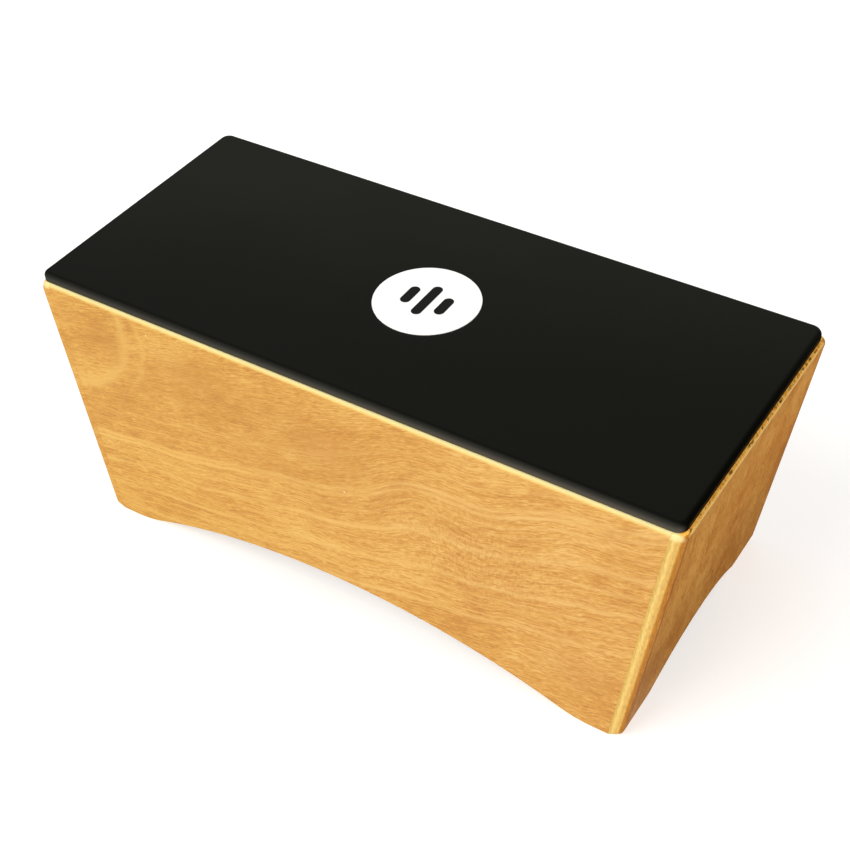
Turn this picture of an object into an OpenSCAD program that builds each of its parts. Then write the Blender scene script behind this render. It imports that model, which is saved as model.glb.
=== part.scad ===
// Lap cajon: a shallow wooden box drum that is played with the hands on its top plate.
// Origin: centre of the footprint, level with the feet. +X along the length, +Y to the rear, +Z up.

/* [Body] */
// Length over the top of the body
top_length = 400; // [380:1:420]
// Depth of the body from the front face to the rear face
body_depth = 176; // [168:1:184]
// Height of the body from the feet to the underside of the plate
body_height = 165; // [157:1:173]
// How far each end leans in from the top of the body to the feet
end_lean = 23; // [16:1:28]
// Thickness of the plywood panels
panel_t = 7.5; // [7:0.5:9]
// Radius of the upright outer corners
upright_r = 4; // [2:0.5:6]
// Radius along the top outer edges of the long panels
top_edge_r = 2.5; // [1:0.5:2.5]
// Radius along the lower outer edge of the end panels
toe_r = 6.5; // [4:0.5:6.5]
// Radius of the eased edges along the tops of the ends and below the long panels' feet
eased_r = 1.2; // [0.6:0.2:2]

/* [Arches] */
// Rise of the arch below each long side
long_rise = 26.5; // [20:0.5:30]
// Distance between the feet along the length
long_span = 320; // [300:1:322]
// Radius that rounds the long arch into the foot
long_foot_r = 64; // [40:1:90]
// Rise of the arch below each end
end_rise = 21.5; // [15:0.5:24]
// Distance between the feet across the depth
end_span = 139; // [130:1:145]
// Radius that rounds the end arch into the foot
end_foot_r = 26; // [20:1:40]

/* [Playing plate] */
// Thickness of the playing plate
plate_t = 6; // [4:0.5:8]
// Width of the body edge left showing around the plate
plate_inset = 2.2; // [2:0.1:4]
// Corner radius of the plate seen from above
plate_corner_r = 5; // [4:0.5:15]
// Radius of the rounded top edge of the plate
plate_edge_r = 3; // [1:0.5:3]
// Diameter of the round badge
badge_d = 60; // [50:1:80]
// Distance of the badge from the middle of the plate, towards the high end
badge_x = 5; // [-20:1:20]
// Thickness of the round badge
badge_t = 0.4; // [0.2:0.1:1]

/* [Inside] */
// Thickness of the divider board
divider_t = 6; // [5:0.5:8]
// Distance of the divider board from the middle of the box, towards the high end
divider_x = 34; // [20:1:60]
// Height of the divider board's lower edge above the feet
divider_z = 42; // [36:1:60]
// Width and height of the lining strips below the plate
lining = 12; // [8:1:16]
// Size of the triangular glue blocks in the corners
block = 18; // [12:1:24]
// Depth of the tongues and of the divider grooves
tongue = 3; // [2:0.5:4]
// Thickness of the tongues on the ends of the long panels
tongue_t = 3; // [2:0.5:3.5]
// Glue gap left between parts
glue = 0.1; // [0.05:0.05:0.2]

/* [Hidden] */
$fn = 96;

// Angle of the end panels from upright
lean = atan(end_lean / body_height);
// Half length and half depth at the feet
foot_x = top_length / 2 - end_lean;
half_y = body_depth / 2;
// Plane where the long panels' inner faces lie
inner_y = half_y - panel_t;
// Thickness of an end panel measured level
end_t = panel_t / cos(lean);
// Radius that eases the hidden corners of the lining strips
ease = 2;
// Height of the glue blocks' lower ends, and the gap below the lining
block_z = 48;
block_gap = 4;
// Overrun of a cutting shape past the surface that it cuts
over = 5;

wood = "#E3A95A";
pale_wood = "#D9B98A";
black = "#1C1C18";
white = "#F4F4F0";

// Extrudes a profile drawn in X and Z along the depth, from y = from to y = to
module along_y(from, to) {
    translate([0, to, 0]) rotate([90, 0, 0]) linear_extrude(to - from) children();
}

// Extrudes a profile drawn in Y and Z along the length, from x = from to x = to
module along_x(from, to) {
    translate([from, 0, 0]) rotate([90, 0, 90]) linear_extrude(to - from) children();
}

// Half length inside the end panels at height z, less a gap
function inside_x(z, gap) = foot_x + z * tan(lean) - end_t - gap / cos(lean);

// Area below an arch that turns smoothly into a foot at each end
module arch_cut(half_span, rise, foot_r) {
    arch_r = (half_span ^ 2 + rise ^ 2) / (2 * rise) - foot_r;
    turn_z = foot_r * rise / (arch_r + foot_r);
    difference() {
        translate([-half_span, -over]) square([2 * half_span, turn_z + over]);
        for (side = [-1, 1]) translate([side * half_span, foot_r]) circle(foot_r, $fn = 360);
    }
    intersection() {
        translate([0, rise - arch_r]) circle(arch_r, $fn = 720);
        translate([-half_span, -over / 2]) square([2 * half_span, rise + over]);
    }
}

// Area outside a rounded lower corner at the origin, whose side leans out by an angle
module corner_cut(r, angle) {
    reach = r * tan(45 - angle / 2);
    side_end = reach * [sin(angle), cos(angle)];
    difference() {
        polygon([[-reach, -r], [2 * r, -r], [2 * r, side_end.y], side_end, [-reach, r]]);
        translate([-reach, r]) circle(r);
    }
}

// Outline of an end, seen along the length
module end_outline() {
    difference() {
        translate([-half_y, 0]) square([body_depth, body_height]);
        arch_cut(end_span / 2, end_rise, end_foot_r);
        for (side = [0, 1]) mirror([side, 0]) translate([half_y, 0]) {
            corner_cut(eased_r, 0);
            translate([0, body_height]) mirror([0, 1]) corner_cut(top_edge_r, 0);
        }
    }
}

// Outline of a long side between two upright leaning ends, each set in by a gap
module long_outline(gap) {
    difference() {
        polygon([
            [-inside_x(0, gap), 0], [inside_x(0, gap), 0],
            [inside_x(body_height, gap), body_height], [-inside_x(body_height, gap), body_height]
        ]);
        arch_cut(long_span / 2, long_rise, long_foot_r);
    }
}

// Section through the front panel, with its rounded top and foot edges
module front_section() {
    difference() {
        translate([-half_y, 0]) square([panel_t, body_height]);
        translate([-half_y, body_height]) rotate(180) corner_cut(top_edge_r, 0);
        translate([-half_y, 0]) mirror([1, 0]) corner_cut(eased_r, 0);
    }
}

// Front long panel, with a tongue on each end and a groove for the divider
module long_panel() {
    tongue_y = -half_y + (panel_t - tongue_t) / 2;
    difference() {
        union() {
            intersection() {
                along_x(-top_length / 2, top_length / 2) front_section();
                along_y(-half_y - over, -inner_y + over) long_outline(glue);
            }
            along_y(tongue_y, tongue_y + tongue_t) long_outline(-tongue);
        }
        translate([divider_x - divider_t / 2 - glue, -inner_y - tongue, divider_z - glue])
            cube([divider_t + 2 * glue, tongue + over, body_height]);
    }
}

module front_panel() {
    color(wood) long_panel();
}

module rear_panel() {
    color(wood) mirror([0, 1, 0]) long_panel();
}

// Places a shape in the right end panel's own frame: outer face at x = 0, z up the slope
module on_end() {
    translate([foot_x, 0, 0]) rotate([0, lean, 0]) children();
}

// Section across the right end panel, with rounded outer corners
module end_section() {
    difference() {
        translate([-panel_t, -half_y]) square([panel_t, body_depth]);
        for (side = [0, 1]) mirror([0, side]) translate([0, -half_y]) corner_cut(upright_r, 0);
    }
}

// Right end panel, with a groove for the tongue of each long panel
module end_panel() {
    groove_y = half_y - (panel_t + tongue_t) / 2 - glue;
    difference() {
        intersection() {
            on_end() translate([0, 0, -body_height / 4])
                linear_extrude(1.5 * body_height) end_section();
            along_x(0, top_length) end_outline();
        }
        along_y(-body_depth, body_depth) {
            translate([foot_x, 0]) corner_cut(toe_r, lean);
            translate([top_length / 2, body_height]) mirror([0, 1]) corner_cut(eased_r, -lean);
        }
        for (side = [0, 1]) mirror([0, side, 0]) on_end()
            translate([-panel_t - over, groove_y, -body_height / 4])
                cube([tongue + glue + over, tongue_t + 2 * glue, 1.5 * body_height]);
    }
}

module right_end_panel() {
    color(wood) end_panel();
}

module left_end_panel() {
    color(wood) mirror([1, 0, 0]) end_panel();
}

// Section of the plate's edge: a slab of width w, with its upper right corner rounded
module plate_edge_section(w) {
    difference() {
        square([w, plate_t]);
        translate([w, plate_t]) mirror([0, 1]) corner_cut(plate_edge_r, 0);
    }
}

// Thin plate with rounded corners, and a rounded edge along its top
module playing_plate() {
    core_x = top_length / 2 - plate_inset - plate_corner_r;
    core_y = half_y - plate_inset - plate_corner_r;
    color(black) translate([0, 0, body_height]) {
        translate([-core_x, -core_y, 0]) cube([2 * core_x, 2 * core_y, plate_t]);
        for (side = [0, 180]) rotate(side) {
            translate([core_x, core_y, 0]) rotate([90, 0, 0])
                linear_extrude(2 * core_y) plate_edge_section(plate_corner_r);
            translate([-core_x, core_y, 0]) rotate([90, 0, 90])
                linear_extrude(2 * core_x) plate_edge_section(plate_corner_r);
            translate([core_x, core_y, 0])
                rotate_extrude(angle = 90) plate_edge_section(plate_corner_r);
            translate([-core_x, core_y, 0]) rotate(90)
                rotate_extrude(angle = 90) plate_edge_section(plate_corner_r);
        }
    }
}

// Thin round badge near the middle of the plate
module badge_disc() {
    color(white) translate([badge_x, 0, body_height + plate_t]) cylinder(h = badge_t, d = badge_d);
}

// Board that parts the box into a low and a high chamber
module divider_board() {
    reach = inner_y + tongue - glue;
    color(pale_wood) translate([divider_x - divider_t / 2, -reach, divider_z])
        cube([divider_t, 2 * reach, body_height - divider_z]);
}

// Section of a long lining strip in the corner under the plate, drawn in Y and Z
module lining_section() {
    translate([-inner_y + glue, body_height - lining]) difference() {
        square(lining);
        translate([lining, 0]) corner_cut(ease, 0);
    }
}

// Long lining strip on the front panel, from the divider to one end panel
module long_lining(from, to) {
    low_z = body_height - lining;
    intersection() {
        along_x(from, to) lining_section();
        along_y(-half_y, 0) polygon([
            [-inside_x(low_z, glue), low_z], [inside_x(low_z, glue), low_z],
            [inside_x(body_height, glue), body_height], [-inside_x(body_height, glue), body_height]
        ]);
    }
}

module front_lining(high) {
    divider_side = divider_x + (high ? 1 : -1) * (divider_t / 2 + glue);
    if (high) long_lining(divider_side, top_length / 2);
    else long_lining(-top_length / 2, divider_side);
}

// Lining strip on the right end panel, between the long lining strips
module end_lining() {
    half = inner_y - lining - 2 * glue;
    low_z = body_height - lining;
    along_y(-half, half) polygon([
        [inside_x(body_height, glue) - lining, low_z], [inside_x(low_z, glue), low_z],
        [inside_x(body_height, glue), body_height], [inside_x(body_height, glue) - lining, body_height]
    ]);
}

// Triangular glue block in the front right corner, along the slope of the end
module corner_block() {
    top_z = body_height - lining - block_gap;
    corner = [-panel_t - glue, -inner_y + glue];
    intersection() {
        on_end() translate([0, 0, -over]) linear_extrude(body_height + over)
            polygon([corner, corner + [-block, 0], corner + [0, block]]);
        translate([0, -half_y, block_z]) cube([top_length, half_y, top_z - block_z]);
    }
}

module lining_front_low() {
    color(pale_wood) front_lining(false);
}

module lining_front_high() {
    color(pale_wood) front_lining(true);
}

module lining_rear_low() {
    color(pale_wood) mirror([0, 1, 0]) front_lining(false);
}

module lining_rear_high() {
    color(pale_wood) mirror([0, 1, 0]) front_lining(true);
}

module lining_low_end() {
    color(pale_wood) mirror([1, 0, 0]) end_lining();
}

module lining_high_end() {
    color(pale_wood) end_lining();
}

module glue_block_front_low() {
    color(pale_wood) mirror([1, 0, 0]) corner_block();
}

module glue_block_front_high() {
    color(pale_wood) corner_block();
}

module glue_block_rear_low() {
    color(pale_wood) mirror([1, 0, 0]) mirror([0, 1, 0]) corner_block();
}

module glue_block_rear_high() {
    color(pale_wood) mirror([0, 1, 0]) corner_block();
}

playing_plate();
badge_disc();
front_panel();
rear_panel();
left_end_panel();
right_end_panel();
divider_board();
lining_front_low();
lining_front_high();
lining_rear_low();
lining_rear_high();
lining_low_end();
lining_high_end();
glue_block_front_low();
glue_block_front_high();
glue_block_rear_low();
glue_block_rear_high();
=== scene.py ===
"""Looks of a lap cajon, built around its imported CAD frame. Metres, +X along the length, +Z up."""

import math

import bmesh
import bpy
from mathutils import Matrix, Vector


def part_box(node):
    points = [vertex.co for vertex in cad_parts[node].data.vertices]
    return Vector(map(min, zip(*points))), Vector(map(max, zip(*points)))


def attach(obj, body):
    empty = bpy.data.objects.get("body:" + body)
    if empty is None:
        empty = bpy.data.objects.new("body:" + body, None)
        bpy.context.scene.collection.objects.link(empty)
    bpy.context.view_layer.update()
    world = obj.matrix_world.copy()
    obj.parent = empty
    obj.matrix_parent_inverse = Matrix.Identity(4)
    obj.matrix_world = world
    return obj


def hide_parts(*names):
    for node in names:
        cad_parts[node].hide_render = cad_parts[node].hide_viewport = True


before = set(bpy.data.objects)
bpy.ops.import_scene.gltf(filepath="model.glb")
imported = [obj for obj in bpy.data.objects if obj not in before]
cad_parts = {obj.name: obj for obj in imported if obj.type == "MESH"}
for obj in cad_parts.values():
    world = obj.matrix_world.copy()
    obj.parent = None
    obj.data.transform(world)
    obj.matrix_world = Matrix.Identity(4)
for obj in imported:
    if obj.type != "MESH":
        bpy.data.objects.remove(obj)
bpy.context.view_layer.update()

MM = 0.001

# Sizes read from the frame
FRONT_LO, FRONT_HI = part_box("front_panel")
END_LO, END_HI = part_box("right_end_panel")
PLATE_LO, PLATE_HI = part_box("playing_plate")
BADGE_LO, BADGE_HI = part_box("badge_disc")
DIVIDER_LO, DIVIDER_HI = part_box("divider_board")
HEIGHT = FRONT_HI.z
HALF_X, HALF_Y = END_HI.x, END_HI.y
PANEL_T = FRONT_HI.y - FRONT_LO.y
END_WIDTH = END_HI.x - END_LO.x
# END_WIDTH is HEIGHT * tan(LEAN) + PANEL_T / cos(LEAN), solved here for the end panels' lean
LEAN = math.acos(PANEL_T / math.hypot(END_WIDTH, HEIGHT)) - math.atan2(HEIGHT, END_WIDTH)
FOOT_X = HALF_X - HEIGHT * math.tan(LEAN)

# Shapes that the frame's boxes don't tell. A side is -1 in front or at the left, and 1 otherwise.
TOP_EDGE_R = 2.5 * MM
UPRIGHT_R = 4 * MM
TOE_R = 6.5 * MM
ARRIS = 1.2 * MM
FINE_ARRIS = 0.4 * MM
# Hand-worn corners of the end panels: the foot corners by side, and the upper corners
WORN_TOE_R = {-1: 6 * MM, 1: 9 * MM}
WORN_TOP_R = 6 * MM
LONG_ARCH = {"rise": 26.5 * MM, "half_span": 160 * MM, "foot_r": 64 * MM}
END_ARCH = {"rise": 21.5 * MM, "half_span": 69.5 * MM, "foot_r": 26 * MM}
TONGUE = 3 * MM
GLUE = 0.1 * MM
SHOWN_GAP = 0.02 * MM
# Corners of the plate: rear right, rear left, front left, front right
PLATE_CORNER_RS = (6.5 * MM, 6 * MM, 4.5 * MM, 6 * MM)
# Place of the plate's middle along X; its right edge stays where the frame has it
PLATE_MID_X = -0.25 * MM
PLATE_EDGE_R = 3 * MM
# Faces that meet at this angle or more show a sharp edge
CREASE_DEG = 28


# ---------------------------------------------------------------- mesh tools

def fall(radius, distance):
    """How far an edge rounded to this radius drops at a distance from the side it meets."""
    inside = radius - min(distance, radius)
    return radius - math.sqrt(max(0.0, radius**2 - inside**2))


def arch(x, rise, half_span, foot_r):
    """Height of an arched lower edge at a distance x from its middle."""
    arch_r = (half_span**2 + rise**2) / (2 * rise) - foot_r
    turn = half_span * arch_r / (arch_r + foot_r)
    x = abs(x)
    if x <= turn:
        return rise - arch_r + math.sqrt(arch_r**2 - x**2)
    if x < half_span:
        return foot_r - math.sqrt(foot_r**2 - (half_span - x) ** 2)
    return 0.0


def round_steps(radius, count):
    """Distances from a side at which a rounded edge gets its lines of vertices."""
    return [radius * (1 - math.cos(math.pi / 2 * i / count)) for i in range(count + 1)]


def merged(values, closest):
    """Sorted values, without those that nearly repeat the one before."""
    kept = []
    for value in sorted(values):
        if not kept or value - kept[-1] > closest:
            kept.append(value)
    return kept


def slab(grid):
    """Closed bmesh over grid[i][k] = (lower point, upper point), with its end faces by row."""
    bm = bmesh.new()
    v = [[[bm.verts.new(point) for point in pair] for pair in row] for row in grid]
    columns = len(grid[0])
    for row, after in zip(v, v[1:]):
        for k in range(columns - 1):
            for side in (0, 1):
                bm.faces.new((row[k][side], after[k][side], after[k + 1][side], row[k + 1][side]))
        for k in (0, columns - 1):
            bm.faces.new((row[k][0], after[k][0], after[k][1], row[k][1]))
    ends = [
        [bm.faces.new((*row[k], *reversed(row[k + 1]))) for k in range(columns - 1)]
        for row in (v[0], v[-1])
    ]
    bmesh.ops.recalc_face_normals(bm, faces=bm.faces)
    return bm, ends


def stack(rings):
    """Closed bmesh through a pile of rings that have the same number of points."""
    bm = bmesh.new()
    loops = [[bm.verts.new(point) for point in ring] for ring in rings]
    count = len(rings[0])
    for low, high in zip(loops, loops[1:]):
        for i in range(count):
            j = (i + 1) % count
            bm.faces.new((low[i], low[j], high[j], high[i]))
    bm.faces.new(loops[0])
    bm.faces.new(loops[-1])
    bmesh.ops.recalc_face_normals(bm, faces=bm.faces)
    return bm


def new_object(name, bm):
    """Links the bmesh as an object at the origin."""
    mesh = bpy.data.meshes.new(name)
    bm.to_mesh(mesh)
    bm.free()
    made = bpy.data.objects.new(name, mesh)
    bpy.context.scene.collection.objects.link(made)
    return made


def box_at(low, high):
    """Closed bmesh of a box between two corners."""
    ring = [(low[0], low[1]), (high[0], low[1]), (high[0], high[1]), (low[0], high[1])]
    return stack([[(x, y, z) for x, y in ring] for z in (low[2], high[2])])


def cut(target, cutter_bm):
    """Cuts a shape out of an object for good."""
    cutter = new_object("cutter", cutter_bm)
    modifier = target.modifiers.new("cut", "BOOLEAN")
    modifier.object = cutter
    modifier.solver = "EXACT"
    evaluated = target.evaluated_get(bpy.context.evaluated_depsgraph_get())
    result = bpy.data.meshes.new_from_object(evaluated)
    target.modifiers.clear()
    target.data = result
    bpy.data.objects.remove(cutter)


def finish_piece(piece, material, nodes):
    """Shading, material, slot and place in the frame for a piece that stands for CAD nodes."""
    bm = bmesh.new()
    bm.from_mesh(piece.data)
    for face in bm.faces:
        face.smooth = True
    for edge in bm.edges:
        edge.smooth = edge.calc_face_angle(0) < math.radians(CREASE_DEG)
    bm.to_mesh(piece.data)
    bm.free()
    weighted = piece.modifiers.new("weighted", "WEIGHTED_NORMAL")
    weighted.keep_sharp = True
    piece.data.materials.clear()
    piece.data.materials.append(material)
    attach(piece, "root")
    if nodes:
        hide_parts(*nodes)
    return piece


# ------------------------------------------------------------------- panels

def inside_x(z, gap):
    """Half length between the end panels at height z, less a gap."""
    return FOOT_X + z * math.tan(LEAN) - (PANEL_T + gap) / math.cos(LEAN)


def panel_depths():
    """Depths from an outer face at which a panel gets its lines of vertices."""
    tongue_sides = [PANEL_T / 2 - TONGUE / 2, PANEL_T / 2 + TONGUE / 2]
    inner = [PANEL_T - depth for depth in round_steps(FINE_ARRIS, 2)]
    curved = round_steps(TOP_EDGE_R, 8) + round_steps(ARRIS, 4) + round_steps(TOE_R, 8)
    margin = 0.15 * MM
    clear = [d for d in curved if min(abs(d - side) for side in tongue_sides) > margin]
    return merged(clear + inner + tongue_sides, closest=0.03 * MM)


def long_panel_point(u, depth, side, upper):
    """Point of a long panel: u runs from -1 to 1 between the ends, side is -1 in front."""
    inner_fall = fall(FINE_ARRIS, PANEL_T - depth)
    if upper:
        z = HEIGHT - fall(TOP_EDGE_R, depth) - inner_fall
    else:
        z = arch(u * inside_x(0, SHOWN_GAP), **LONG_ARCH) + fall(ARRIS, depth) + inner_fall
    return u * inside_x(z, SHOWN_GAP), side * (HALF_Y - depth), z


def long_panel(name, side):
    """Front or rear panel, with a tongue on each end and a groove for the divider."""
    columns = 112
    depths = panel_depths()
    grid = [
        [
            tuple(long_panel_point(2 * i / columns - 1, depth, side, upper) for upper in (False, True))
            for depth in depths
        ]
        for i in range(columns + 1)
    ]
    bm, ends = slab(grid)
    first = depths.index(PANEL_T / 2 - TONGUE / 2)
    last = depths.index(PANEL_T / 2 + TONGUE / 2)
    for direction, faces in zip((-1, 1), ends):
        grown = bmesh.ops.extrude_face_region(bm, geom=faces[first:last])
        moved = [item for item in grown["geom"] if isinstance(item, bmesh.types.BMVert)]
        bmesh.ops.translate(bm, verts=moved, vec=(direction * TONGUE / math.cos(LEAN), 0, 0))
    bmesh.ops.recalc_face_normals(bm, faces=bm.faces)
    panel = new_object(name, bm)
    inner_y, groove_y = HALF_Y - PANEL_T, HALF_Y - PANEL_T + TONGUE
    low_y, high_y = sorted((side * (inner_y - TONGUE), side * groove_y))
    low = (DIVIDER_LO.x - GLUE, low_y, DIVIDER_LO.z - GLUE)
    high = (DIVIDER_HI.x + GLUE, high_y, HEIGHT + TONGUE)
    cut(panel, box_at(low, high))
    return panel


def rounded_sum(first, second):
    """Joins the falls of two rounded edges that meet in a corner."""
    return (first**3 + second**3) ** (1 / 3)


def end_panel_point(y, share, side, upper):
    """Point of an end panel: share runs from 0 on the outer face to 1 on the inner one.

    The hand-worn corners shrink to the long panels' own edges at the joint.
    """
    worn_toe = WORN_TOE_R[side]
    edge = HALF_Y - abs(y)
    rounding = fall(UPRIGHT_R, edge)
    depth = rounding + share * (PANEL_T - rounding)
    joint = depth / PANEL_T
    inner_fall = fall(FINE_ARRIS, (1 - share) * PANEL_T)
    if upper:
        corner_r = WORN_TOP_R + (TOP_EDGE_R - WORN_TOP_R) * joint
        outer_r = ARRIS + (WORN_TOP_R - ARRIS) * math.exp(-((edge / WORN_TOP_R) ** 2))
        z = HEIGHT - rounded_sum(fall(corner_r, edge), fall(outer_r, depth - rounding)) - inner_fall
    else:
        corner_r = worn_toe + (ARRIS - worn_toe) * joint
        toe = rounded_sum(fall(corner_r, edge), fall(TOE_R, depth))
        z = max(arch(y, **END_ARCH) + fall(ARRIS, depth - rounding), min(toe, worn_toe)) + inner_fall
    x = FOOT_X + z * math.tan(LEAN) - depth / math.cos(LEAN)
    return side * x, y, z


def end_panel(name, side):
    """Right or left end panel, with a groove for the tongue of each long panel."""
    worn_toe = WORN_TOE_R[side]
    rounded = round_steps(UPRIGHT_R, 9) + round_steps(worn_toe, 12) + round_steps(WORN_TOP_R, 6)
    near = merged(rounded, closest=0.1 * MM)
    spans = 52
    middle = [worn_toe + (HALF_Y - worn_toe) * i / spans for i in range(1, spans + 1)]
    half = [HALF_Y - edge for edge in near + middle]
    stations = [-y for y in half] + half[-2::-1]
    shares = [depth / PANEL_T for depth in panel_depths()]
    grid = [
        [tuple(end_panel_point(y, share, side, upper) for upper in (False, True)) for share in shares]
        for y in stations
    ]
    bm, _ = slab(grid)
    panel = new_object(name, bm)
    groove_y = HALF_Y - PANEL_T / 2
    half_groove = TONGUE / 2 + GLUE
    tilt = Matrix.Translation((side * FOOT_X, 0, 0)) @ Matrix.Rotation(side * LEAN, 4, "Y")
    inner = side * (PANEL_T - TONGUE - GLUE)
    beyond = side * (PANEL_T + TONGUE)
    low_x, high_x = sorted((-inner, -beyond))
    for y in (-groove_y, groove_y):
        channel = box_at((low_x, y - half_groove, -HEIGHT / 4), (high_x, y + half_groove, 1.25 * HEIGHT))
        bmesh.ops.transform(channel, matrix=tilt, verts=channel.verts)
        cut(panel, channel)
    return panel


# ---------------------------------------------------------- plate and badge

def rounded_rectangle(half_x, half_y, corner_rs, z, steps=14):
    """Ring of points around a rectangle about the origin, with a radius for each corner."""
    ring = []
    signs = ((1, 1), (-1, 1), (-1, -1), (1, -1))
    for quarter, ((sx, sy), radius) in enumerate(zip(signs, corner_rs)):
        for i in range(steps + 1):
            angle = math.pi / 2 * (quarter + i / steps)
            x = sx * (half_x - radius) + radius * math.cos(angle)
            y = sy * (half_y - radius) + radius * math.sin(angle)
            ring.append((x, y, z))
    return ring


def playing_plate():
    """Thin plate with rounded corners and a soft edge along its top, a little longer to the left."""
    levels = [(FINE_ARRIS, PLATE_LO.z), (0.0, PLATE_LO.z + FINE_ARRIS)]
    steps = 10
    for i in range(steps + 1):
        angle = math.pi / 2 * i / steps
        inset = PLATE_EDGE_R * (1 - math.cos(angle))
        levels.append((inset, PLATE_HI.z - PLATE_EDGE_R * (1 - math.sin(angle))))
    half_x, half_y = PLATE_HI.x - PLATE_MID_X, PLATE_HI.y
    rings = []
    for inset, z in levels:
        corner_rs = [radius - inset for radius in PLATE_CORNER_RS]
        ring = rounded_rectangle(half_x - inset, half_y - inset, corner_rs, z)
        rings.append([(x + PLATE_MID_X, y, z) for x, y, z in ring])
    return new_object("playing_plate_shell", stack(rings))


INK = 0.05 * MM
BADGE_MID = (BADGE_LO + BADGE_HI) / 2
BADGE_R = (BADGE_HI.x - BADGE_LO.x) / 2
# Bars of the badge's mark, as shares of its radius: place and half length
BARS = ((-0.36, 0.26), (0.0, 0.46), (0.36, 0.26))
BAR_HALF_WIDTH = 0.1


def badge():
    """Thin round badge with a softened rim."""
    top = BADGE_HI.z - INK
    edge = 0.15 * MM
    levels = [(0.0, BADGE_LO.z), (0.0, top - edge)]
    levels += [(edge * (1 - math.cos(a)), top - edge * (1 - math.sin(a))) for a in (0.5, 1.0, math.pi / 2)]
    points = 128
    rings = [
        [
            (
                BADGE_MID.x + (BADGE_R - inset) * math.cos(math.tau * i / points),
                BADGE_MID.y + (BADGE_R - inset) * math.sin(math.tau * i / points),
                z,
            )
            for i in range(points)
        ]
        for inset, z in levels
    ]
    return new_object("badge_face", stack(rings))


def bar(centre, half_length, half_width):
    """Flat bar with round ends, printed on the badge."""
    # A hair short of a half circle, so that no two points of the outline coincide
    corner_rs = [half_width * 0.999] * 4
    rings = []
    for z in (BADGE_HI.z - INK, BADGE_HI.z):
        ring = rounded_rectangle(half_width, half_length, corner_rs, z, 10)
        rings.append([(x + centre[0], y + centre[1], z) for x, y, z in ring])
    return stack(rings)


def badge_motif():
    """Plain mark of three upright bars, the middle one longest."""
    whole = bmesh.new()
    for place, half_length in BARS:
        centre = (BADGE_MID.x + place * BADGE_R, BADGE_MID.y)
        part = bpy.data.meshes.new("bar")
        one = bar(centre, half_length * BADGE_R, BAR_HALF_WIDTH * BADGE_R)
        one.to_mesh(part)
        one.free()
        whole.from_mesh(part)
        bpy.data.meshes.remove(part)
    return new_object("badge_bars", whole)


# ------------------------------------------------------------ material tools

WHITE = (1.0, 1.0, 1.0)


class Term:
    """A value in a node tree that plain arithmetic can be done on."""

    def __init__(self, graph, socket):
        self.graph, self.socket = graph, socket

    def __add__(self, other):
        return self.graph.math("ADD", self, other)

    def __sub__(self, other):
        return self.graph.math("SUBTRACT", self, other)

    def __mul__(self, other):
        return self.graph.math("MULTIPLY", self, other)

    def __truediv__(self, other):
        return self.graph.math("DIVIDE", self, other)

    def __rsub__(self, other):
        return self.graph.math("SUBTRACT", other, self)


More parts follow.
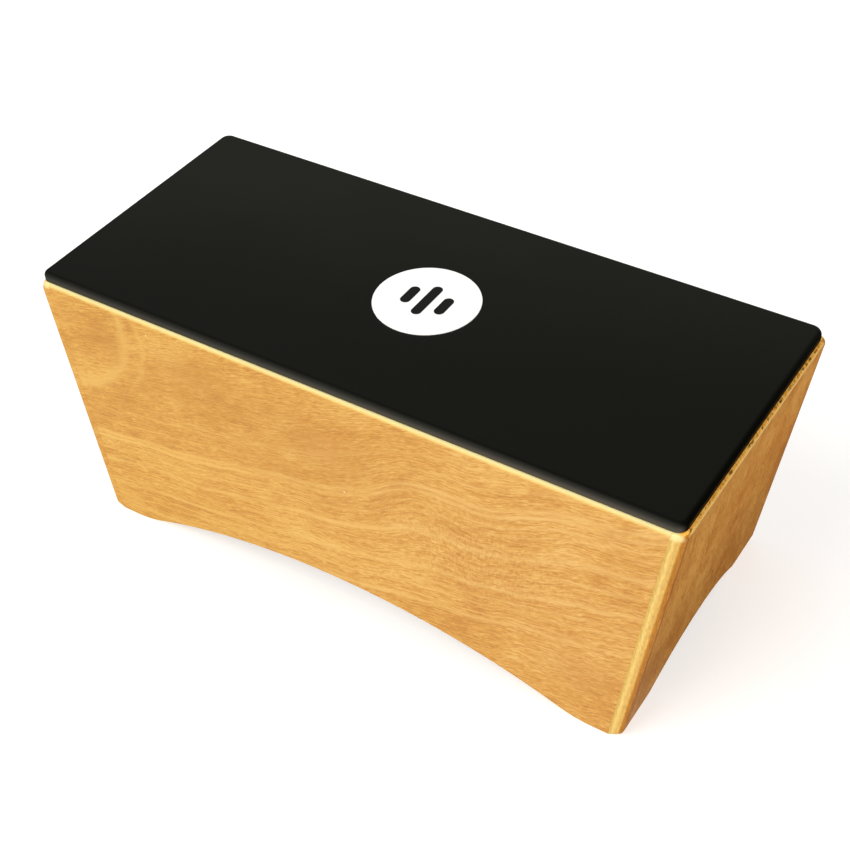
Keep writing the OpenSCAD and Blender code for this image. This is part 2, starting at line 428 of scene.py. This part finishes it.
class Graph:
    """Node tree of a new material, or of the world when its tree is given."""

    def __init__(self, name, tree=None):
        place = "Generated"
        if tree is None:
            self.material = bpy.data.materials.new(name)
            self.material.use_nodes = True
            tree = self.material.node_tree
            place = "Object"
        self.tree = tree
        self.tree.nodes.clear()
        self.position = Term(self, self.node("ShaderNodeTexCoord").outputs[place])
        split = self.node("ShaderNodeSeparateXYZ", {"Vector": self.position})
        self.x, self.y, self.z = (Term(self, socket) for socket in split.outputs)

    def node(self, kind, inputs=None, **settings):
        made = self.tree.nodes.new(kind)
        for key, value in settings.items():
            setattr(made, key, value)
        for key, value in (inputs or {}).items():
            self.put(made.inputs[key], value)
        return made

    def put(self, socket, value):
        if isinstance(value, Term):
            self.tree.links.new(value.socket, socket)
        elif isinstance(value, (tuple, list)) and len(value) == 3 and socket.type == "RGBA":
            socket.default_value = (*value, 1)
        else:
            socket.default_value = value

    def math(self, operation, *values):
        made = self.node("ShaderNodeMath", dict(enumerate(values)), operation=operation)
        return Term(self, made.outputs[0])

    def abs(self, value):
        return self.math("ABSOLUTE", value)

    def bell(self, *shares):
        """Smooth bump, 1 where all shares are 0 and near 0 where one passes 2."""
        total = shares[0] * shares[0]
        for share in shares[1:]:
            total = total + share * share
        return self.math("EXPONENT", total * -1.0)

    def step(self, value, low, high, out_low=0.0, out_high=1.0):
        """Smooth rise from out_low to out_high as value goes from low to high."""
        inputs = {
            "Value": value, "From Min": low, "From Max": high, "To Min": out_low, "To Max": out_high,
        }
        made = self.node("ShaderNodeMapRange", inputs, interpolation_type="SMOOTHSTEP")
        return Term(self, made.outputs["Result"])

    def vector(self, x, y, z=0.0):
        return Term(self, self.node("ShaderNodeCombineXYZ", {0: x, 1: y, 2: z}).outputs[0])

    def noise(self, vector, detail=2.0, roughness=0.5):
        inputs = {"Vector": vector, "Scale": 1.0, "Detail": detail, "Roughness": roughness}
        return Term(self, self.node("ShaderNodeTexNoise", inputs).outputs["Fac"])

    def spots(self, vector):
        """Distance from the nearest of many scattered points."""
        inputs = {"Vector": vector, "Scale": 1.0}
        return Term(self, self.node("ShaderNodeTexVoronoi", inputs).outputs["Distance"])

    def mix(self, factor, first, second, blend="MIX"):
        """Mix of two colours, which a mix node takes in its sockets 6 and 7."""
        inputs = {0: factor, 6: first, 7: second}
        made = self.node("ShaderNodeMix", inputs, data_type="RGBA", blend_type=blend)
        return Term(self, made.outputs[2])

    def tint(self, colour, red, green, blue):
        """Colour with each channel multiplied by its own factor."""
        return self.mix(1.0, colour, self.vector(red, green, blue), "MULTIPLY")

    def ramp(self, factor, stops, interpolation="LINEAR"):
        made = self.node("ShaderNodeValToRGB", {0: factor})
        made.color_ramp.interpolation = interpolation
        elements = made.color_ramp.elements
        while len(elements) < len(stops):
            elements.new(0.5)
        for element, (position, colour) in zip(elements, sorted(stops)):
            element.position = position
            element.color = (*colour, 1)
        return Term(self, made.outputs[0])

    def bump(self, height, strength, distance):
        inputs = {"Height": height, "Strength": strength, "Distance": distance}
        return Term(self, self.node("ShaderNodeBump", inputs).outputs[0])

    def surface(self, colour, roughness, normal=None, specular=0.5, coat=0.0, coat_roughness=0.2,
                glow=0.0, glow_colour=WHITE, shine_tint=WHITE):
        inputs = {
            "Base Color": colour, "Roughness": roughness, "Specular IOR Level": specular,
            "Coat Weight": coat, "Coat Roughness": coat_roughness,
            "Emission Color": glow_colour, "Emission Strength": glow, "Specular Tint": shine_tint,
        }
        if normal is not None:
            inputs["Normal"] = normal
        shader = self.node("ShaderNodeBsdfPrincipled", inputs)
        output = self.node("ShaderNodeOutputMaterial")
        self.tree.links.new(shader.outputs[0], output.inputs[0])
        return self.material


# ---------------------------------------------------------- wood materials

# Colours of the wood, from the darkest veneer to the palest edge. SUNLIT and BRIGHT also serve as painted
# highlights and painted light along the top edges
BURNT = (0.35, 0.098, 0.004)
SHADED_END_GRAIN = (0.50, 0.185, 0.008)
DEEP = (0.45, 0.180, 0.018)
HONEY = (0.585, 0.288, 0.042)
PALE = (0.69, 0.41, 0.105)
SUNLIT = (0.76, 0.55, 0.18)
GOLDEN = (0.72, 0.495, 0.150)
AMBER = (0.60, 0.385, 0.085)
BRIGHT = (0.86, 0.76, 0.36)
# Painted shade deep in a gap between plies
VOID = (0.06, 0.022, 0.004)
# Tint of the end panels' veneer
END_TINT = (0.965, 0.795, 0.585)

# Painted light: a glow of the wood strip beside the plate, which lifts it out of the plate's shadow, as a
# share of the wood's colour
STRIP_GLOW = 0.22

# Rough end grain along the tops of the end panels, by a noise from 0 to 1
SAWN_PLY = [
    (0.30, (0.40, 0.13, 0.008)),
    (0.42, (0.76, 0.31, 0.025)),
    (0.56, (0.92, 0.48, 0.080)),
    (0.72, (0.98, 0.68, 0.22)),
]

# Where the front veneer's grain turns
SWIRL_AT = (-0.188, 0.148)
# Darker patches of the front veneer in mm: centre, width, height, strength
DARK_PATCHES = [
    ((-155, 140), 14, 12, 0.4),
    ((-92, 138), 26, 14, 0.4),
    ((-8, 128), 30, 16, 0.4),
    ((150, 38), 22, 14, 0.4),
    ((-60, 115), 85, 32, 0.22),
]


def veneer(g, along, across, seed, contrast=1.0):
    """Colour and relief of lacquered veneer whose fibres run along the first coordinate.

    The numbers that the coordinates are multiplied by are noise cells per metre.
    """
    patches = g.noise(g.vector(along * 16, across * 30, seed), 3, 0.6)
    streaks = g.noise(g.vector(along * 9, across * 150, seed + 3), 3, 0.6)
    waver = (g.noise(g.vector(along * 95, across * 95, seed + 4), 2) - 0.5) * 0.0032
    across = across + waver
    fibres = g.noise(g.vector(along * 85, across * 950, seed + 5), 3, 0.7)
    flecks = g.noise(g.vector(along * 280, across * 1500, seed + 7), 2, 0.6)
    tone = (patches - 0.5) * 1.0 + (streaks - 0.5) * 0.5 + (fibres - 0.5) * 2.1 + (flecks - 0.5) * 1.3
    colour = g.ramp(tone * contrast + 0.5, [(0.08, DEEP), (0.5, HONEY), (0.92, PALE)])
    scratches = g.noise(g.vector(along * 75, across * 1500, seed + 11), 1, 0.5)
    colour = g.mix(g.step(scratches, 0.64, 0.78, 0, 0.6), colour, PALE)
    pores = g.noise(g.vector(along * 240, across * 2200, seed + 9), 1, 0.5)
    colour = g.mix(g.step(pores, 0.60, 0.74, 0, 0.5), colour, DEEP)
    return colour, fibres + pores * 0.5


def growth_line(g, along, across, place, width):
    """Pale line that follows the grain and comes and goes a little."""
    fade = g.step(g.noise(g.vector(along * 22, place * 1000, across * 60), 2), 0.3, 0.65, 0.35, 1.0)
    return g.bell((across - place) / width) * fade


def bulge(g, x, z, centre, width, height, rise):
    """Local lift of the grain around a point."""
    return g.bell((x - centre[0]) / width, (z - centre[1]) / height) * rise


def front_grain(g):
    """Grain of the front panel: it climbs to the right, over a wave."""
    x, z = g.x, g.z
    climb = x * 0.13 + z * x * 1.2
    wave = bulge(g, x, z, (0.052, 0.125), 0.034, 0.050, 0.013)
    crest = bulge(g, x, z, (0.135, 0.130), 0.050, 0.050, 0.007)
    wander = (g.noise(g.vector(x * 16, z * 16, 2.0), 2) - 0.5) * 0.010
    return x, z - climb - wave - crest - wander


def turning_lines(g):
    """Pale strands that turn up to the top edge, round the upper left of the front panel."""
    from_turn = g.vector(g.x - SWIRL_AT[0], g.z - SWIRL_AT[1])
    length = g.node("ShaderNodeVectorMath", {0: from_turn}, operation="LENGTH").outputs["Value"]
    wander = (g.noise(g.vector(g.x * 40, g.z * 40, 3.0), 2) - 0.5) * 0.008
    radius = Term(g, length) + wander
    inner = g.bell((radius - 0.0475) / 0.0035)
    outer = g.bell((radius - 0.0600) / 0.0022) * g.step(g.z, 0.095, 0.125)
    return inner * 0.6 + outer * 0.35


def ripple(g, along, across):
    """Short marks across the grain, right of the middle of the front panel."""
    area = g.bell((g.x - 0.085) / 0.055, (g.z - 0.095) / 0.030)
    return (g.noise(g.vector(along * 620, across * 420, 6.0), 2, 0.6) - 0.5) * area


def plain_grain(g, seed):
    """Grain of the rear panel: long and calm, with a slow wave."""
    wander = (g.noise(g.vector(g.x * 8, g.z * 12, seed), 2) - 0.5) * 0.02
    return g.x, g.z - g.x * 0.08 - wander


def upright_grain(g, seed):
    """Grain of an end panel: up the slope, with a slow wave."""
    wander = (g.noise(g.vector(g.y * 9, g.z * 7, seed), 2) - 0.5) * 0.014
    return g.z, g.y + g.z * 0.06 - wander


def ply_colour(g, depth, stops, grain):
    """Colour of a panel's edge by depth from the outer face, roughened by end grain."""
    base = g.ramp(depth / PANEL_T, stops)
    shade = g.step(grain, 0.3, 0.7, 0.84, 1.08)
    return g.tint(base, shade, shade, shade)


def within_edge(g, depth, start, full):
    """1 on the cut edge of a panel and 0 on its outer and inner faces."""
    return g.step(depth, start, full) * g.step(depth, PANEL_T - 0.02 * MM, PANEL_T - 0.15 * MM)


def front_figure(g, colour, along, across):
    """Ripple, turning lines, specks and dark patches of the front veneer."""
    marks = ripple(g, along, across)
    colour = g.mix(g.step(marks, 0.0, 0.12, 0.0, 0.35), colour, PALE)
    colour = g.mix(g.step(marks, 0.0, -0.12, 0.0, 0.35), colour, DEEP)
    colour = g.mix(turning_lines(g), colour, PALE)
    speck = g.step(g.spots(g.vector(g.x * 24, g.y * 24, g.z * 24)), 0.020, 0.010, 0.0, 0.8)
    colour = g.mix(speck, colour, BRIGHT)
    for (x, z), width, height, strength in DARK_PATCHES:
        patch = g.bell((g.x - x * MM) / (width * MM), (g.z - z * MM) / (height * MM))
        colour = g.mix(patch * strength, colour, DEEP)
    return colour


def long_panel_material(name, grain, seed, lines, is_front):
    """Veneer on the faces of a long panel, and its plies on the sanded edges, with a painted highlight
    along the top edge.
    """
    g = Graph(name)
    along, across = grain(g)
    colour, relief = veneer(g, along, across, seed)
    for place, width, strength in lines:
        line = growth_line(g, along, across, place * MM, width * MM)
        colour = g.mix(line * strength, colour, PALE)
    if is_front:
        colour = front_figure(g, colour, along, across)
    # More blue makes the honey colour paler to the right
    paling = g.step(g.x, -0.17, 0.17, 0.86, 1.15)
    colour = g.tint(colour, 1.0, 1.0, paling)
    depth = HALF_Y - g.abs(g.y)
    edge_noise = g.noise(g.vector(g.x * 240, g.y * 900, g.z * 900), 3, 0.6)
    # The SUNLIT plies near the outer face are the plies' pale colour and, on the rounded top edge, also a
    # painted highlight
    stops = [(0.0, PALE), (0.1, SUNLIT), (0.4, SUNLIT), (0.48, HONEY), (0.7, PALE), (1.0, HONEY)]
    edge = ply_colour(g, depth, stops, edge_noise)
    on_edge = within_edge(g, depth, 0.15 * MM, 0.5 * MM)
    colour = g.mix(on_edge, colour, edge)
    # Painted highlight on the rounded top edge
    painted_top_highlight = g.step(g.z, HEIGHT - 2.6 * MM, HEIGHT - 0.8 * MM, 0.0, 0.35)
    colour = g.mix(painted_top_highlight, colour, SUNLIT)
    # Painted light: the top strip beside the plate is made paler where the plate shades it
    colour = g.mix(g.step(g.z, HEIGHT - 0.9 * MM, HEIGHT - 0.1 * MM, 0.0, 0.9), colour, BRIGHT)
    roughness = g.step(relief, 0.5, 1.1, 0.40, 0.52)
    normal = g.bump(relief + edge_noise * on_edge, 0.12, 0.2 * MM)
    return g.surface(colour, roughness, normal, 0.35, 0.2, 0.28)


def sawn_top(g, seed, depth, voids):
    """Colour of the rough sawn plies along the top of an end panel, with painted shade in the gaps in it.
    """
    sawn = g.noise(g.vector(g.x * 600 + g.y * 400, g.y * 300, seed), 3, 0.7)
    gap_noise = g.noise(g.vector(g.x * 380 + g.y * 200, g.y * 210, seed + 2), 3, 0.7)
    rearward = g.step(g.y, -0.04, 0.04, 0.0, 0.06)
    # The gaps between plies are painted in shade
    gaps = g.step(gap_noise + rearward, 0.56, 0.62) * g.bell((depth - 1.2 * MM) / (0.7 * MM))
    return g.mix(gaps * voids, g.ramp(sawn, SAWN_PLY), VOID)


def end_veneer(g, along, across, seed, lined):
    """Colour and relief of an end panel's veneer: painted shade low down and in front, a line by the
    corners, and a painted highlight along the top edge.
    """
    colour, relief = veneer(g, along, across, seed, 1.8)
    colour = g.tint(colour, *END_TINT)
    # Painted shade: the veneer is darkened low down and toward the front
    painted_shade = g.step(g.y, -HALF_Y, HALF_Y, 0.97, 1.08) * g.step(g.z, 0.25 * HEIGHT, 0.75 * HEIGHT, 0.87, 1.02)
    colour = g.tint(colour, painted_shade, painted_shade, painted_shade)
    # A thin dark line 4.4 mm in from each upright corner
    corner_line = g.bell((g.abs(g.y) - (HALF_Y - 4.4 * MM)) / (1.0 * MM))
    colour = g.mix(corner_line * 0.8 * lined, colour, BURNT)
    lit_edge = g.bell((g.z - (HEIGHT - 1.0 * MM)) / (0.8 * MM))
    return g.mix(lit_edge * 0.9, colour, SUNLIT), relief


def end_panel_material(name, seed, band, voids, lined):
    """Veneer on an end panel's faces, and its plies on the front, top and lower edges, with a painted glow
    on the top strip beside the plate.

    Without a band of plies the front veneer runs on over the panel's front edge.
    """
    g = Graph(name)
    along, across = upright_grain(g, seed)
    colour, relief = end_veneer(g, along, across, seed, lined)
    slant = g.z * math.tan(LEAN) + FOOT_X
    depth = (slant - g.abs(g.x)) * math.cos(LEAN)
    edge_noise = g.noise(g.vector(g.x * 900, g.y * 420, g.z * 260), 3, 0.65)
    if band:
        edge = ply_colour(g, depth, band, edge_noise)
    else:
        edge, _ = veneer(g, *front_grain(g), 1.0)
    top = g.step(g.z, HEIGHT - 1.0 * MM, HEIGHT - 0.5 * MM)
    edge = g.mix(top, edge, sawn_top(g, seed, depth, voids))
    on_edge = within_edge(g, depth, 0.35 * MM, 0.65 * MM)
    colour = g.mix(on_edge, colour, edge)
    near_corner = g.step(g.abs(g.y), HALF_Y - 4 * MM, HALF_Y - 1.5 * MM)
    near_top = g.step(g.z, HEIGHT - 4 * MM, HEIGHT - 1 * MM)
    colour = g.mix(near_corner * near_top * 0.75, colour, BRIGHT)
    roughness = g.step(relief, 0.5, 1.1, 0.42, 0.55)
    normal = g.bump(relief + edge_noise * on_edge, 0.12, 0.2 * MM)
    # Painted light: the top strip beside the plate glows in its own colour
    painted_glow = top * g.step(depth, 0.8 * MM, 2.2 * MM, 0.0, STRIP_GLOW)
    return g.surface(colour, roughness, normal, 0.22, 0.06, 0.3, glow=painted_glow, glow_colour=colour)


# Light and dark colours of the unfinished woods
BARE_PLYWOOD = (0.62, 0.43, 0.24), (0.48, 0.31, 0.15)
SOFTWOOD = (0.66, 0.49, 0.29), (0.52, 0.34, 0.17)


def bare_wood(name, light, dark, along_axis):
    """Unfinished wood for the parts inside the box."""
    g = Graph(name)
    axes = {"x": (g.x, g.y, g.z), "y": (g.y, g.x, g.z), "z": (g.z, g.x, g.y)}[along_axis]
    wander = g.noise(g.vector(axes[0] * 10, axes[1] * 20, axes[2] * 20), 2) * 0.01
    rings = g.noise(g.vector(axes[0] * 6, (axes[1] + wander) * 240, (axes[2] + wander) * 240), 3, 0.6)
    fibres = g.noise(g.vector(axes[0] * 90, axes[1] * 1500, axes[2] * 1500), 3, 0.7)
    tone = (rings - 0.5) * 1.4 + (fibres - 0.5) * 0.8 + 0.5
    colour = g.mix(g.step(tone, 0.1, 0.9), dark, light)
    normal = g.bump(fibres, 0.25, 0.2 * MM)
    return g.surface(colour, g.step(fibres, 0.3, 0.7, 0.62, 0.75), normal, 0.3)


# --------------------------------------------------- plate and badge finish

# Colours of the plate: its lacquer, smears, a painted reflection at the rear left, dust and a painted
# reflection along the front edge
LACQUER = (0.0014, 0.0013, 0.0008)
SMEARED = (0.0030, 0.0029, 0.0020)
REAR_REFLECTION = (0.0085, 0.0088, 0.0068)
DUST = (0.10, 0.10, 0.095)
FRONT_REFLECTION = (0.052, 0.042, 0.032)


def black_satin():
    """Satin black plate, matt at its ends, with a painted reflection at the rear left, a little dusty, and
    a painted reflection along the front edge.
    """
    g = Graph("black_satin")
    grain = g.noise(g.vector(g.x * 700, g.y * 700, g.z * 700), 3, 0.6)
    smears = g.noise(g.vector(g.x * 12, g.y * 20, 4.0), 3, 0.5)
    specks = g.spots(g.vector(g.x * 22, g.y * 22, g.z * 22))
    speck = g.step(specks, 0.014, 0.007, 0.0, 0.6)
    colour = g.mix(smears, LACQUER, SMEARED)
    # Painted reflection: the plate is paler toward the rear left
    rear_reflection = g.step(g.y - g.x * 0.25, -0.06, 0.13)
    colour = g.mix(rear_reflection, colour, REAR_REFLECTION)
    colour = g.mix(speck, colour, DUST)
    # Painted reflection along the plate's front edge, stronger toward the right
    side_band = g.step(g.z, PLATE_HI.z - 0.5 * MM, PLATE_LO.z + 1 * MM)
    facing = g.step(g.y, PLATE_LO.y + 4 * MM, PLATE_LO.y + 1 * MM)
    reflection_to_right = g.step(g.x, PLATE_LO.x, PLATE_HI.x, 0.2, 1.0)
    colour = g.mix(side_band * facing * reflection_to_right, colour, FRONT_REFLECTION)
    roughness = g.step(smears, 0.3, 0.7, 0.40, 0.47)
    shine = g.step(g.abs(g.x), PLATE_HI.x - 3 * MM, PLATE_HI.x - 0.5 * MM, 0.5, 0.08)
    normal = g.bump(grain, 0.04, 0.1 * MM)
    return g.surface(colour, roughness, normal, shine, shine_tint=(0.98, 1.0, 0.86))


def badge_white():
    """Printed white film."""
    g = Graph("badge_white")
    grain = g.noise(g.vector(g.x * 900, g.y * 900, g.z * 900), 2, 0.5)
    colour = g.mix(grain, (0.95, 0.95, 0.95), (0.98, 0.98, 0.98))
    return g.surface(colour, g.step(grain, 0.3, 0.7, 0.32, 0.4), g.bump(grain, 0.03, 0.05 * MM), 0.4)


def badge_ink():
    """Black print on the badge."""
    g = Graph("badge_ink")
    grain = g.noise(g.vector(g.x * 1200, g.y * 1200, g.z * 1200), 2, 0.5)
    colour = g.mix(grain, (0.004, 0.004, 0.004), (0.012, 0.012, 0.011))
    return g.surface(colour, g.step(grain, 0.3, 0.7, 0.38, 0.46), g.bump(grain, 0.03, 0.05 * MM), 0.4)


# ------------------------------------------------------------------ assembly

# Pale lines in the long panels' veneer: place across the grain and width in mm, strength
FRONT_LINES = [
    (31, 1.5, 0.75), (35, 0.7, 0.45), (41, 0.8, 0.45), (46, 1.0, 0.45), (53, 1.5, 0.75), (57, 0.6, 0.4),
    (64, 0.9, 0.45), (74, 1.8, 0.75), (78, 0.7, 0.4), (85, 0.9, 0.45), (90, 0.9, 0.5), (96, 1.3, 0.9),
    (100, 1.6, 0.8), (112, 1.1, 0.4), (124, 1.3, 0.35),
]
REAR_LINES = [(40, 2.0, 0.5), (62, 3.0, 0.4), (95, 3.0, 0.5), (101, 1.5, 0.5), (130, 3.0, 0.4)]
# Colours of the plies on the right end panel's edge, from its outer face (0) to its inner one (1). The
# darkest plies by the outer face are end grain and also painted shade on the side of the rounded corner
# that faces away from the light
RIGHT_BAND = [
    (0.0, SHADED_END_GRAIN), (0.20, SHADED_END_GRAIN), (0.27, HONEY), (0.34, PALE), (0.45, AMBER), (0.55, PALE),
    (0.69, GOLDEN), (0.76, GOLDEN), (0.86, AMBER), (1.0, AMBER),
]

long_lacquer = {
    -1: long_panel_material("front_veneer", front_grain, 1.0, FRONT_LINES, True),
    1: long_panel_material("rear_veneer", lambda g: plain_grain(g, 11.0), 21.0, REAR_LINES, False),
}
end_lacquer = {
    -1: end_panel_material("left_veneer", 31.0, None, 0.6, 0.0),
    1: end_panel_material("right_veneer", 41.0, RIGHT_BAND, 0.95, 1.0),
}
for side, word in ((-1, "front"), (1, "rear")):
    piece = long_panel(f"{word}_panel_veneered", side)
    finish_piece(piece, long_lacquer[side], [f"{word}_panel"])
for side, word in ((-1, "left"), (1, "right")):
    piece = end_panel(f"{word}_end_panel_veneered", side)
    finish_piece(piece, end_lacquer[side], [f"{word}_end_panel"])
finish_piece(playing_plate(), black_satin(), ["playing_plate"])
finish_piece(badge(), badge_white(), ["badge_disc"])
finish_piece(badge_motif(), badge_ink(), [])

divider_wood = bare_wood("bare_plywood", *BARE_PLYWOOD, "y")
softwood = {axis: bare_wood(f"softwood_along_{axis}", *SOFTWOOD, axis) for axis in "xyz"}


def inner_wood(node_name):
    """Wood of a part inside the box, with its fibres along the part."""
    if node_name == "divider_board":
        return divider_wood
    if node_name.startswith("glue_block"):
        return softwood["z"]
    return softwood["y" if node_name.endswith("_end") else "x"]


# The CAD parts that no piece above stands for are shown as they are, with eased edges
for node_name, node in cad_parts.items():
    if node.hide_render:
        continue
    for material_slot in node.material_slots:
        material_slot.material = inner_wood(node_name)
    bevel = node.modifiers.new("eased", "BEVEL")
    bevel.width = FINE_ARRIS
    bevel.segments = 2
    bevel.limit_method = "ANGLE"


# ------------------------------------------------------- floor, light, camera

FLOOR_GLOW = 0.50
SKY_STRENGTH = 0.57


def pale_floor():
    """Large pale floor. Reflections see it bright in front of the object and dim elsewhere."""
    half = 6.0
    corners = ((-half, -half), (half, -half), (half, half), (-half, half))
    bm = bmesh.new()
    bm.faces.new([bm.verts.new((x, y, 0)) for x, y in corners])
    floor = new_object("floor", bm)
    g = Graph("floor_paint")
    tint = g.noise(g.vector(g.x * 3, g.y * 3, 0.0), 2)
    glossy = Term(g, g.node("ShaderNodeLightPath").outputs["Is Glossy Ray"])
    colour = g.mix(tint, (0.62, 0.62, 0.62), (0.64, 0.64, 0.64))
    colour = g.mix(glossy, colour, (0.01, 0.01, 0.01))
    seen_in_gloss = g.step(g.y, 0.0, -0.16, 0.02, 0.65)
    glow = (1.0 - glossy) * FLOOR_GLOW + glossy * seen_in_gloss
    floor.data.materials.append(g.surface(colour, 0.9, None, 0.0, glow=glow))


def sky():
    """Even light from above. Reflections see a dim room, brighter in front and to the rear left."""
    world = bpy.data.worlds.new("studio")
    bpy.context.scene.world = world
    world.use_nodes = True
    g = Graph("studio", world.node_tree)
    direction = g.position

    def lobe(toward, low, high, strength):
        inputs = {0: direction, 1: toward}
        dot = g.node("ShaderNodeVectorMath", inputs, operation="DOT_PRODUCT")
        return g.step(Term(g, dot.outputs["Value"]), low, high, 0.0, strength)

    room = lobe((-0.62, 0.62, 0.48), 0.2, 1.1, 0.17) + lobe((-0.1, -0.95, 0.3), 0.45, 1.0, 0.6) + 0.012
    glossy = Term(g, g.node("ShaderNodeLightPath").outputs["Is Glossy Ray"])
    strength = (1.0 - glossy) * SKY_STRENGTH + glossy * room
    background = g.node("ShaderNodeBackground", {"Color": (1.0, 0.99, 0.97, 1.0), "Strength": strength})
    output = g.node("ShaderNodeOutputWorld")
    g.tree.links.new(background.outputs[0], output.inputs[0])


def soft_light(name, energy, spread_deg, toward, colour):
    """Wide soft light from one side, which leaves no highlight of its own."""
    data = bpy.data.lights.new(name, "SUN")
    data.energy = energy
    data.angle = math.radians(spread_deg)
    data.color = colour
    light = bpy.data.objects.new(name, data)
    light.visible_glossy = False
    bpy.context.scene.collection.objects.link(light)
    light.rotation_mode = "QUATERNION"
    light.rotation_quaternion = Vector(toward).to_track_quat("Z", "Y")


def camera():
    """Camera to the front right and above, turned a little about its own axis."""
    azimuth, elevation, roll = (math.radians(a) for a in (34.61, 42.70, -2.78))
    aim, distance = Vector((0.0038, -0.0243, 0.0760)), 0.8832
    back = Vector((
        math.sin(azimuth) * math.cos(elevation),
        -math.cos(azimuth) * math.cos(elevation),
        math.sin(elevation),
    ))
    right = Vector((0, 0, 1)).cross(back).normalized()
    up = back.cross(right)
    turned_right = math.cos(roll) * right + math.sin(roll) * up
    turned_up = math.cos(roll) * up - math.sin(roll) * right
    data = bpy.data.cameras.new("camera")
    data.sensor_width = 36
    data.lens = 65.16
    data.shift_x, data.shift_y = 0.0210, 0.0355
    made = bpy.data.objects.new("camera", data)
    bpy.context.scene.collection.objects.link(made)
    turn = Matrix((turned_right, turned_up, back)).transposed().to_4x4()
    made.matrix_world = Matrix.Translation(aim + back * distance) @ turn
    bpy.context.scene.camera = made


pale_floor()
sky()
soft_light("key", 2.2, 50, (-0.42, -0.66, 0.60), (1.0, 0.98, 0.93))
soft_light("fill", 0.8, 60, (0.75, -0.15, 0.65), (1.0, 0.98, 0.95))
camera()
bpy.context.scene.view_settings.view_transform = "Standard"
